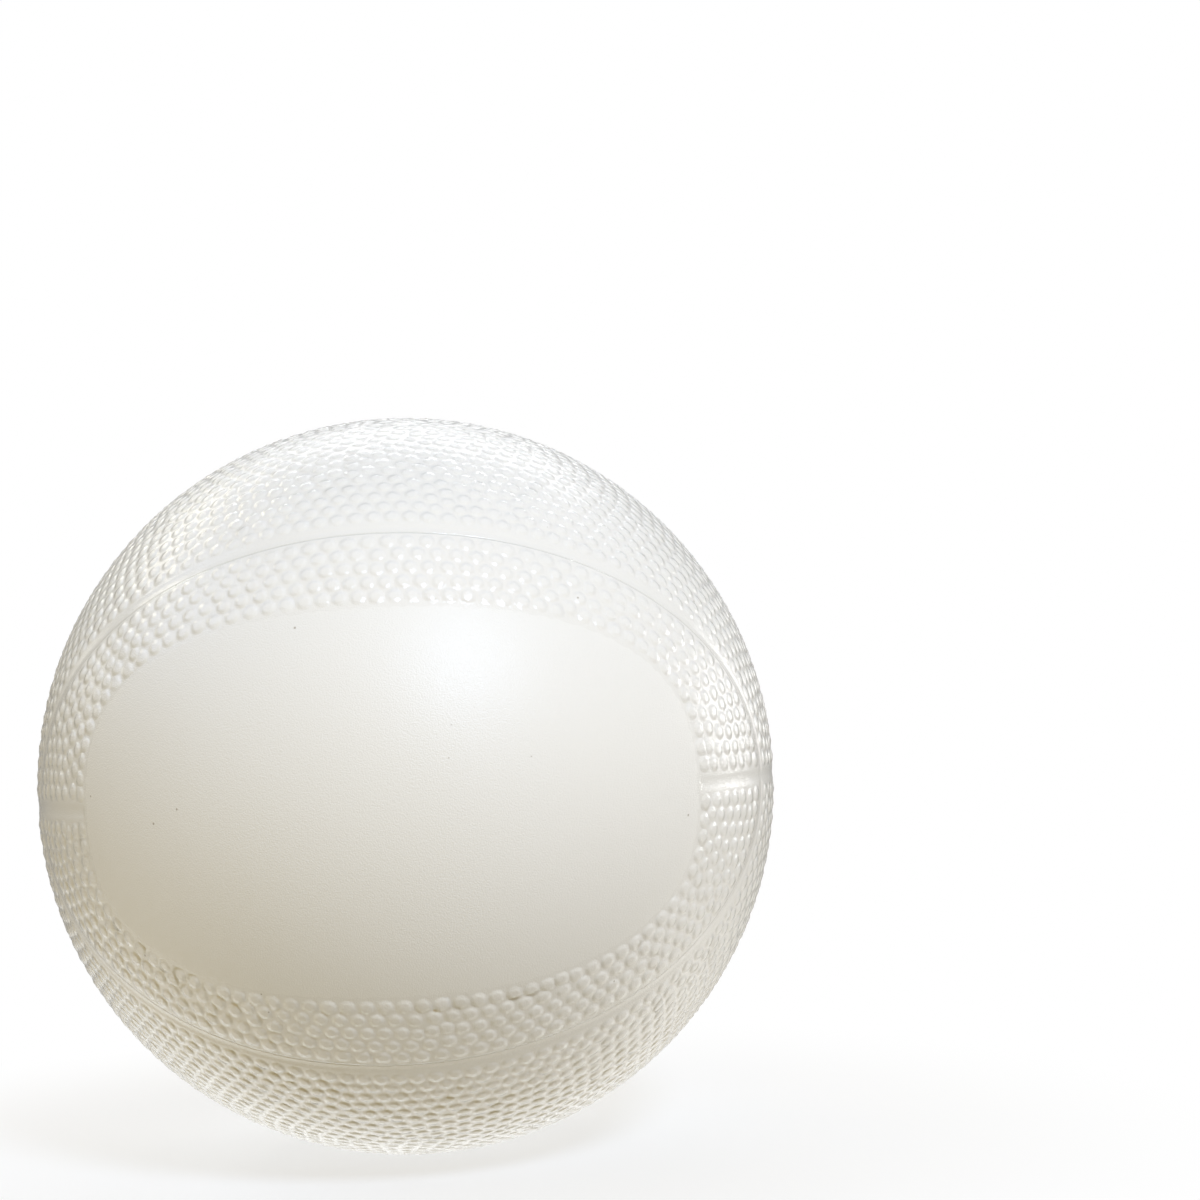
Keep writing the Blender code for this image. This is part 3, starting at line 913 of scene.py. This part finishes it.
def pebble_tree(numbers):
    """Geometry Nodes tree that raises a rounded pebble on every grain face."""
    tree = bpy.data.node_groups.new("raise_pebbles", "GeometryNodeTree")
    face = tree.interface
    face.new_socket("Geometry", in_out="INPUT", socket_type="NodeSocketGeometry")
    for name in numbers:
        face.new_socket(name, in_out="INPUT", socket_type="NodeSocketFloat")
    face.new_socket("Material", in_out="INPUT", socket_type="NodeSocketMaterial")
    face.new_socket("Geometry", in_out="OUTPUT", socket_type="NodeSocketGeometry")
    given = tree.nodes.new("NodeGroupInput").outputs

    def result(kind, settings=None, inputs=None, output=0):
        return add_node(tree, kind, settings, inputs).outputs[output]

    def named(name, kind):
        return result("GeometryNodeInputNamedAttribute", {"data_type": kind}, {0: name})

    def vector(operation, *feeds, output=0):
        return result("ShaderNodeVectorMath", {"operation": operation}, dict(enumerate(feeds)), output)

    def number(operation, first, second):
        return result("ShaderNodeMath", {"operation": operation}, {0: first, 1: second})

    def times(first, second):
        return number("MULTIPLY", first, second)

    def stretch(direction, amount):
        inputs = {0: direction, "Scale": amount}
        return result("ShaderNodeVectorMath", {"operation": "SCALE"}, inputs)

    grain = named("grain", "FLOAT")
    middle = named("middle", "FLOAT_VECTOR")
    reach = named("reach", "FLOAT")
    slant = named("slant", "FLOAT_VECTOR")
    outward = vector("NORMALIZE", middle)
    more = {"data_type": "FLOAT", "operation": "GREATER_THAN"}
    is_grain = result("FunctionNodeCompare", more, {0: grain, 1: LEAST_GRAIN})
    arm = vector("SUBTRACT", result("GeometryNodeInputPosition"), middle)
    length = vector("LENGTH", arm, output=1)
    along = vector("NORMALIZE", arm)
    rounded = {0: given["Roundness"], 2: length, 3: reach}
    rounded = result("ShaderNodeMix", {"data_type": "FLOAT"}, rounded)

    def stored(mesh, top, kind, name, value):
        settings = {"data_type": kind, "domain": "POINT"}
        inputs = {"Geometry": mesh, "Selection": top, "Name": name, "Value": value}
        return result("GeometryNodeStoreNamedAttribute", settings, inputs)

    def raised(mesh, top, arm_out, rise, lean, crown):
        inputs = {"Mesh": mesh, "Selection": top, "Offset Scale": 0.0, "Individual": True}
        step = add_node(tree, "GeometryNodeExtrudeMesh", {"mode": "FACES"}, inputs)
        top = step.outputs["Top"]
        facing = vector("ADD", vector("ADD", outward, slant), stretch(along, times(lean, grain)))
        mesh = stored(step.outputs["Mesh"], top, "FLOAT_VECTOR", "lean", facing)
        mesh = stored(mesh, top, "FLOAT", "crown", crown)
        tip = vector("DOT_PRODUCT", arm_out, slant, output=1)
        lift = number("SUBTRACT", times(rise, grain), tip)
        spot = vector("ADD", vector("ADD", middle, arm_out), stretch(outward, lift))
        inputs = {"Geometry": mesh, "Selection": top, "Position": spot}
        return result("GeometryNodeSetPosition", None, inputs), top

    foot = stretch(along, times(rounded, given["Foot Share"]))
    side = stretch(along, times(reach, given["Side Share"]))
    side_rise = times(given["Pebble Height"], given["Side Rise"])
    mesh, top = raised(given["Geometry"], is_grain, foot, 0.0, given["Foot Lean"], 0.0)
    mesh, top = raised(mesh, top, side, side_rise, given["Side Lean"], SIDE_CROWN)
    mesh, top = raised(mesh, top, stretch(arm, 0.0), given["Pebble Height"], 0.0, 1.0)
    inputs = {"Geometry": mesh, "Selection": top, "Distance": TOP_MERGE}
    mesh = result("GeometryNodeMergeByDistance", None, inputs)
    mesh = result("GeometryNodeSetShadeSmooth", None, {"Geometry": mesh})
    inputs = {"Geometry": mesh, "Material": given["Material"]}
    mesh = result("GeometryNodeSetMaterial", None, inputs)
    tree.links.new(mesh, tree.nodes.new("NodeGroupOutput").inputs[0])
    return tree


def apply_tree(obj, tree, inputs):
    """Run a Geometry Nodes tree on an object and keep the result as plain mesh."""
    modifier = obj.modifiers.new(tree.name, "NODES")
    modifier.node_group = tree
    for item in tree.interface.items_tree:
        if item.item_type == "SOCKET" and item.in_out == "INPUT" and item.name in inputs:
            modifier[item.identifier] = inputs[item.name]
    shaped = obj.evaluated_get(bpy.context.evaluated_depsgraph_get())
    mesh = bpy.data.meshes.new_from_object(shaped)
    obj.modifiers.remove(modifier)
    plain = obj.data
    obj.data = mesh
    bpy.data.meshes.remove(plain)


def new_object(name, vertices, polygons, material):
    mesh = bpy.data.meshes.new(name)
    mesh.from_pydata([tuple(v) for v in vertices], [], polygons)
    mesh.materials.append(material)
    obj = bpy.data.objects.new(name, mesh)
    bpy.context.scene.collection.objects.link(obj)
    return obj


def outward_faces(mesh):
    bm = bmesh.new()
    bm.from_mesh(mesh)
    bmesh.ops.recalc_face_normals(bm, faces=bm.faces)
    bm.to_mesh(mesh)
    bm.free()


def grain_height(spots):
    """Share of the full pebble height: a little uneven, and low in the bare place under the valve."""
    chance = np.random.default_rng(HEIGHT_SEED).uniform(-1.0, 1.0, len(spots))
    n = unit(spots)
    across = n[:, 0] * BALL_RADIUS / STAMP_HALF[0]
    down = (n[:, 2] * BALL_RADIUS + STAMP_CENTRE_BELOW) / STAMP_HALF[1]
    out = (np.hypot(across, down) - STAMP_EDGE[0]) / STAMP_EDGE[1]
    inside = (1.0 - smooth_step(out)) * (n[:, 1] > 0)
    return (1.0 + GRAIN_UNEVEN * chance) * (1.0 - (1.0 - STAMP_GRAIN) * inside)


def pebble_slant(spots):
    """Small tilt of each pebble, as the direction in which its top leans over."""
    draws = np.random.default_rng(SLANT_SEED)
    chance = draws.normal(0.0, SLANT_SPREAD, (len(spots), 2)).clip(-1.0, 1.0)
    first, second = tangents(unit(spots))
    beside_panel = 1.0 - smooth_step(panel_gap(unit(spots)) / PEBBLE_PITCH)
    most = math.tan(PEBBLE_SLANT) + beside_panel * math.tan(PANEL_ROW_SLANT)
    return most[:, None] * (chance[:, :1] * first + chance[:, 1:] * second)


def store(mesh, name, domain, values):
    """Keep a number or a vector for each face or point of a mesh."""
    kind, field = ("FLOAT", "value") if values.ndim == 1 else ("FLOAT_VECTOR", "vector")
    mesh.attributes.new(name, kind, domain).data.foreach_set(field, values.ravel())


def make_ball_shell(material):
    """White shell: the wall with its channels and valve well, and a pebble on every cell."""
    places, rings, loops = joined_cells(spread_pebbles())
    vertices, polygons, lean = shell_base(places, rings, loops)
    obj = new_object("ball_shell_pebbled", vertices, polygons, material)
    outward_faces(obj.data)
    corners = [BASE_RADIUS * places[ring] for ring in rings]
    middles = np.array([c.mean(axis=0) for c in corners])
    reaches = np.array([np.linalg.norm(c - c.mean(axis=0), axis=1).mean() for c in corners])

    def on_faces(values):
        every = np.zeros((len(obj.data.polygons),) + values.shape[1:])
        every[:len(rings)] = values
        return every

    store(obj.data, "grain", "FACE", on_faces(grain_height(middles)))
    store(obj.data, "middle", "FACE", on_faces(middles))
    store(obj.data, "reach", "FACE", on_faces(reaches))
    store(obj.data, "slant", "FACE", on_faces(pebble_slant(middles)))
    store(obj.data, "lean", "POINT", lean)
    outward = unit(np.array(vertices))
    store(obj.data, "matte", "POINT", smooth_step(-panel_gap(outward) / PANEL_STEP))
    seam = np.where(outward[:, 1] < 0.0, oval_offset(outward, -1), oval_offset(outward, 1))
    store(obj.data, "seam", "POINT", seam)
    numbers = {
        "Foot Share": FOOT_SHARE,
        "Foot Lean": math.tan(FOOT_LEAN),
        "Side Share": SIDE_SHARE,
        "Side Rise": SIDE_RISE,
        "Side Lean": math.tan(SIDE_LEAN),
        "Pebble Height": PEBBLE_HEIGHT,
        "Roundness": ROUNDNESS,
    }
    apply_tree(obj, pebble_tree(numbers), {**numbers, "Material": material})
    face_each_point(obj.data)
    for name in ("slant", "lean"):
        obj.data.attributes.remove(obj.data.attributes[name])
    return obj


def face_each_point(mesh):
    """Shade each point the way its stored direction leans, and the rest as their faces lie."""
    count = len(mesh.vertices)
    lean = np.zeros(count * 3)
    mesh.attributes["lean"].data.foreach_get("vector", lean)
    lean = lean.reshape(count, 3)
    plain = np.zeros(count * 3)
    mesh.vertex_normals.foreach_get("vector", plain)
    plain = plain.reshape(count, 3)
    size = np.linalg.norm(lean, axis=1, keepdims=True)
    facing = np.where(size > 0.5, lean / np.maximum(size, TINY), plain)
    mesh.normals_split_custom_set_from_vertices([tuple(f) for f in facing])


def ring_row(radius, height, flat=math.inf):
    """Round row of points about the valve's axis, cut off at flat to each side."""
    row = []
    for turn in full_turn(VALVE_STEPS):
        side = min(max(radius * math.sin(turn), -flat), flat)
        row.append((radius * math.cos(turn), height, side))
    return row


def slot_row(half_span, half_width, height):
    """Row of points round a narrow slot with rounded ends."""
    row = []
    for turn in full_turn(VALVE_STEPS):
        side = min(max(SLIT_END_ROUND * math.sin(turn), -1.0), 1.0)
        row.append((half_span * math.cos(turn), height, half_width * side))
    return row


def skinned(name, rows, material):
    """Closed skin over rows of points: single points close its ends, or the last row joins the first."""
    vertices = []
    ids = []
    for row in rows:
        first = len(vertices)
        vertices.extend(row)
        step = 0 if len(row) == 1 else 1
        ids.append([first + step * i for i in range(VALVE_STEPS)])
    if len(rows[0]) > 1:
        ids.append(ids[0])
    polygons = []
    for here, after in zip(ids, ids[1:]):
        for i in range(VALVE_STEPS):
            j = (i + 1) % VALVE_STEPS
            polygons.append(list(dict.fromkeys([here[i], here[j], after[j], after[i]])))
    obj = new_object(name, vertices, polygons, material)
    outward_faces(obj.data)
    obj.data.shade_smooth()
    obj.data.set_sharp_from_angle(angle=SHARP_ANGLE)
    return obj


def rounded_corner(centre, radius, start, end, steps=CORNER_STEPS):
    """Points on an arc between two angles, in degrees from +radius towards +height."""
    points = []
    for step in range(steps + 1):
        angle = math.radians(start + (end - start) * step / steps)
        points.append((centre[0] + radius * math.cos(angle), centre[1] + radius * math.sin(angle)))
    return points


def make_valve_sleeve(material):
    """Amber tube: rounded top, bore, inner lip and collar."""
    edge = SLEEVE_EDGE
    profile = []
    profile += rounded_corner((SLEEVE_RADIUS - edge, SLEEVE_TOP - edge), edge, 0.0, 90.0)
    profile += rounded_corner((SLEEVE_BORE + edge, SLEEVE_TOP - edge), edge, 90.0, 180.0)
    profile += [(SLEEVE_BORE, SLEEVE_TOP - SLEEVE_BORE_ROW), (SLEEVE_BORE, SLEEVE_END + SLEEVE_LIP)]
    profile += [(SLEEVE_LIP_RADIUS, SLEEVE_END + SLEEVE_LIP), (SLEEVE_LIP_RADIUS, SLEEVE_END)]
    profile += [(SLEEVE_RADIUS - edge, SLEEVE_END), (SLEEVE_RADIUS, SLEEVE_END + edge)]
    profile += [(SLEEVE_RADIUS, COLLAR_END), (COLLAR_RADIUS, COLLAR_END)]
    profile += [(COLLAR_RADIUS, COLLAR_TOP), (SLEEVE_RADIUS, COLLAR_TOP)]
    return skinned("valve_sleeve_ring", [ring_row(r, h) for r, h in profile], material)


def make_valve_plug(material):
    """Cream plug: needle hole, rounded face, body, neck and a flat bill with its slit."""
    edge = PLUG_EDGE
    lead = NEEDLE_LEAD
    profile = [(NEEDLE_RADIUS, SLEEVE_END), (NEEDLE_RADIUS, PLUG_TOP - NEEDLE_ROW)]
    profile += rounded_corner((NEEDLE_RADIUS + lead, PLUG_TOP - lead), lead, 180.0, 90.0)
    profile += rounded_corner((PLUG_RADIUS - edge, PLUG_TOP - edge), edge, 90.0, 0.0, PLUG_EDGE_STEPS)
    profile += [(PLUG_RADIUS, PLUG_SHOULDER), (PLUG_NECK, PLUG_SHOULDER)]
    rows = [[(0.0, SLEEVE_END, 0.0)]] + [ring_row(r, h) for r, h in profile]
    for share in np.linspace(0.0, 1.0, BILL_ROWS):
        height = SLEEVE_END + share * (PLUG_END - SLEEVE_END)
        rows.append(ring_row(PLUG_NECK, height, PLUG_NECK + share * (BILL_HALF - PLUG_NECK)))
    rows.append(slot_row(SLIT_HALF_SPAN, SLIT_HALF, PLUG_END))
    rows.append(slot_row(SLIT_HALF_SPAN, SLIT_HALF, PLUG_END + SLIT_DEEP))
    rows.append([(0.0, PLUG_END + SLIT_DEEP, 0.0)])
    return skinned("valve_plug_body", rows, material)


def set_camera():
    """Camera six radii off, turned as the front ball is seen, with the ball low and left."""
    turn = Matrix.Rotation(math.radians(VIEW_YAW), 3, "Y")
    turn = turn @ Matrix.Rotation(math.radians(VIEW_PITCH), 3, "X")
    turn = turn @ Matrix.Rotation(math.radians(VIEW_ROLL), 3, "Z")
    to_world = Matrix(((1, 0, 0), (0, 0, -1), (0, 1, 0)))
    axes = (to_world @ turn).to_4x4()
    lens = bpy.data.cameras.new("front_camera")
    lens.lens = VIEW_LENS
    lens.sensor_width = VIEW_SENSOR
    lens.shift_x, lens.shift_y = VIEW_SHIFT
    camera = bpy.data.objects.new("front_camera", lens)
    camera.matrix_world = Matrix.Translation(axes.to_3x3() @ Vector((0, 0, VIEW_DISTANCE))) @ axes
    bpy.context.scene.collection.objects.link(camera)
    bpy.context.scene.camera = camera


def add_soft_lamp(name, direction, distance, width, height, power, colour):
    """Oval lamp that faces the ball and that the camera doesn't see."""
    data = bpy.data.lights.new(name, "AREA")
    data.shape = "ELLIPSE"
    data.size = width
    data.size_y = height
    data.energy = power
    data.color = colour
    lamp = bpy.data.objects.new(name, data)
    lamp.location = distance * Vector(direction).normalized()
    lamp.rotation_euler = (-lamp.location).to_track_quat("-Z", "Y").to_euler()
    lamp.visible_camera = False
    bpy.context.scene.collection.objects.link(lamp)


def add_floor():
    """Pale floor with the ball's shadow, which the camera sees fade into the white ground."""
    material, finish, place = new_material("pale_floor")
    feed(finish, "Base Color", place.noise(FLOOR_CLOUD_SCALE, 3.0).blend(FLOOR_LIGHT, FLOOR_DEEP))
    finish.inputs["Roughness"].default_value = FLOOR_ROUGHNESS
    finish.inputs["Specular IOR Level"].default_value = FLOOR_SPECULAR
    across = place.node("ShaderNodeVectorMath", {"operation": "LENGTH"}, {0: place}, 1)
    far = across.ramp(*FLOOR_FADE, FLOOR_LIFT, 1.0)
    white = place.node("ShaderNodeEmission", None, {"Color": WHITE})
    plain = Value(place.tree, finish.outputs[0])
    cover = place.node("ShaderNodeMixShader", None, {0: far, 1: plain, 2: white})
    place.tree.links.new(cover.socket, place.tree.nodes["Material Output"].inputs["Surface"])
    half = FLOOR_HALF
    corners = [(-half, -half, -BALL_RADIUS), (half, -half, -BALL_RADIUS),
               (half, half, -BALL_RADIUS), (-half, half, -BALL_RADIUS)]
    floor = new_object("floor", corners, [(0, 1, 2, 3)], material)
    floor.visible_diffuse = False
    floor.visible_glossy = False


def set_surround():
    """Light from the front, from low at the back and from the backdrop; the camera sees white."""
    world = bpy.data.worlds.new("studio")
    bpy.context.scene.world = world
    world.use_nodes = True
    tree = world.node_tree
    tree.nodes.clear()
    aim = Value(tree, tree.nodes.new("ShaderNodeTexCoord").outputs["Generated"])
    seen = Value(tree, tree.nodes.new("ShaderNodeLightPath").outputs["Is Camera Ray"])

    def towards(axis):
        return aim.node("ShaderNodeVectorMath", {"operation": "DOT_PRODUCT"}, {0: aim, 1: axis}, 1)

    def lit(share, colour):
        return aim.node("ShaderNodeBackground", None, {"Color": share.blend(BLACK, colour)})

    def together(first, second):
        return aim.node("ShaderNodeAddShader", None, {0: first, 1: second})

    above = towards((0.0, 0.0, 1.0)).ramp(*FRONT_ABOVE)
    front = towards((0.0, -1.0, 0.0)).ramp(*FRONT_EDGE)
    below = towards((0.0, 0.0, -1.0)).ramp(*UNDER_BELOW)
    under = towards((-UNDER_LEFT, 1.0, 0.0)).ramp(*UNDER_BACK)
    behind = towards((0.0, 1.0, 0.0)).ramp(*BEHIND_EDGE)
    light = together(lit(front * above, SURROUND_FRONT), lit(under * below, SURROUND_UNDER))
    light = together(light, lit(behind, SURROUND_BEHIND))
    white = aim.node("ShaderNodeBackground", None, {"Color": WHITE})
    shown = aim.node("ShaderNodeMixShader", None, {0: seen, 1: light, 2: white})
    tree.links.new(shown.socket, tree.nodes.new("ShaderNodeOutputWorld").inputs["Surface"])


def set_stage():
    bpy.context.scene.view_settings.view_transform = "Standard"
    add_floor()
    set_surround()
    for lamp in LAMPS:
        add_soft_lamp(*lamp)


shell = make_ball_shell(white_vinyl())
sleeve = make_valve_sleeve(amber_vinyl())
plug = make_valve_plug(cream_rubber())
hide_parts("ball_shell")
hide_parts("valve_sleeve")
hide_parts("valve_plug")
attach(shell, "ball")
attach(sleeve, "ball")
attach(plug, "plug")
set_camera()
set_stage()
